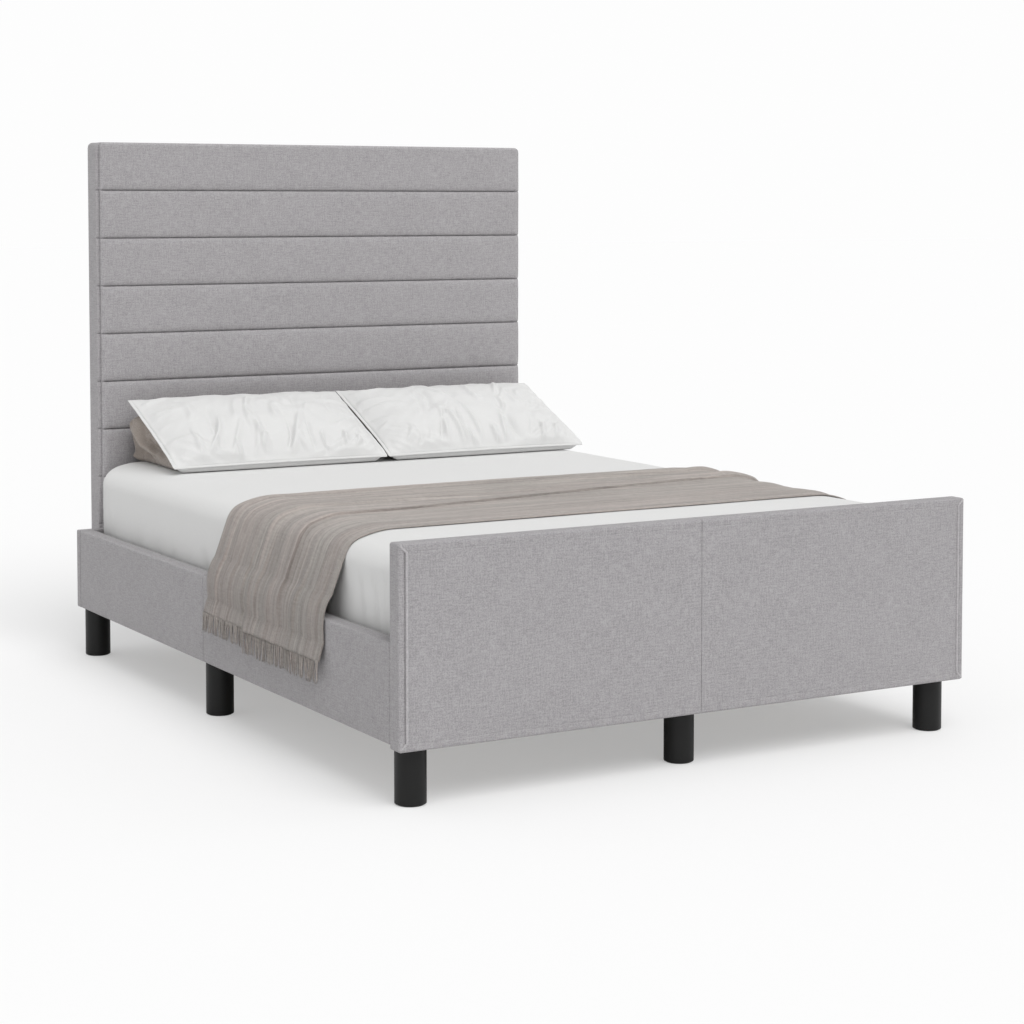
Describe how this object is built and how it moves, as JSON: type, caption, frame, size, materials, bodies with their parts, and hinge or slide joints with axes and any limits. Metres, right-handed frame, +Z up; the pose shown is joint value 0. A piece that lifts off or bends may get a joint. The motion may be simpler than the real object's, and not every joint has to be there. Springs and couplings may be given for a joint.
{
  "type": "upholstered bed",
  "caption": "Double bed with a tall headboard in horizontal padded channels, grey fabric rails and footboard, black round legs, slatted base, mattress, pillows and a fringed throw.",
  "frame": {"origin": "on the floor, at the middle of the bed's outer box", "axes": "+Z up, +Y from the foot towards the headboard, +X to the right seen from the foot"},
  "size_m": [1.5092, 2.039, 1.42],
  "materials": {
    "upholstery": "light grey woven, matt",
    "padding": "upholstery foam",
    "board": "raw board",
    "timber": "planed softwood",
    "plywood": "birch plywood",
    "back_cloth": "black non-woven",
    "zinc_steel": "zinc plated",
    "black_steel": "matt black",
    "leg_black": "matt black",
    "felt": "felt",
    "holder_plastic": "black",
    "ticking": "mattress ticking",
    "white_linen": "white cotton",
    "throw_wool": "taupe woven",
    "cushion_cloth": "dark taupe woven"
  },
  "bodies": {
    "bed_frame": {"centre_beam_front": "black_steel", "centre_beam_hangers": "black_steel", "centre_beam_rear": "black_steel", "centre_beam_sleeve": "black_steel", "centre_slat_holders": "holder_plastic", "corner_blocks": "timber", "corner_bracket_bolts": "zinc_steel", "corner_brackets": "black_steel", "footboard_core_left": "board", "footboard_core_right": "board", "footboard_cover_left": "upholstery", "footboard_cover_right": "upholstery", "footboard_dowels": "timber", "footboard_joining_plate": "black_steel", "head_rail_core": "board", "head_rail_cover": "upholstery", "headboard_back_cloth": "back_cloth", "headboard_bolts": "zinc_steel", "headboard_cover": "upholstery", "headboard_foam": "padding", "headboard_panel": "board", "headboard_tee_nuts": "zinc_steel", "headboard_timber_frame": "timber", "joining_bolts": "zinc_steel", "ledger_screws": "zinc_steel", "ledgers_left": "timber", "ledgers_right": "timber", "left_rail_front_core": "board", "left_rail_front_cover": "upholstery", "left_rail_rear_core": "board", "left_rail_rear_cover": "upholstery", "leg_foot_centre": "leg_black", "leg_foot_left": "leg_black", "leg_foot_right": "leg_black", "leg_glides": "felt", "leg_head_centre": "leg_black", "leg_head_left": "leg_black", "leg_head_right": "leg_black", "leg_middle_centre": "leg_black", "leg_middle_left": "leg_black", "leg_middle_right": "leg_black", "leg_studs": "zinc_steel", "middle_leg_blocks": "timber", "rail_joining_plates": "black_steel", "right_rail_front_core": "board", "right_rail_front_cover": "upholstery", "right_rail_rear_core": "board", "right_rail_rear_cover": "upholstery", "side_slat_holders": "holder_plastic", "slats_left": "plywood", "slats_right": "plywood"},
    "mattress": {"mattress": "ticking", "fitted_sheet": "white_linen"},
    "throw": {"throw": "throw_wool", "throw_fringe": "throw_wool"},
    "cushion_left": {"cushion_left": "cushion_cloth"},
    "cushion_right": {"cushion_right": "cushion_cloth"},
    "pillow_left": {"pillow_left": "white_linen"},
    "pillow_right": {"pillow_right": "white_linen"}
  },
  "joints": [
    {"name": "mattress_lift", "type": "slide", "parent": "bed_frame", "child": "mattress", "axis": [0, 0, 1], "range_m": [0, 0.3]},
    {"name": "throw_lift", "type": "slide", "parent": "mattress", "child": "throw", "axis": [0, 0, 1], "range_m": [0, 0.35]},
    {"name": "cushion_left_lift", "type": "slide", "parent": "mattress", "child": "cushion_left", "axis": [0, 0, 1], "range_m": [0, 0.3]},
    {"name": "cushion_right_lift", "type": "slide", "parent": "mattress", "child": "cushion_right", "axis": [0, 0, 1], "range_m": [0, 0.3]},
    {"name": "pillow_left_lift", "type": "slide", "parent": "cushion_left", "child": "pillow_left", "axis": [0, 0, 1], "range_m": [0, 0.3]},
    {"name": "pillow_right_lift", "type": "slide", "parent": "cushion_right", "child": "pillow_right", "axis": [0, 0, 1], "range_m": [0, 0.3]}
  ]
}
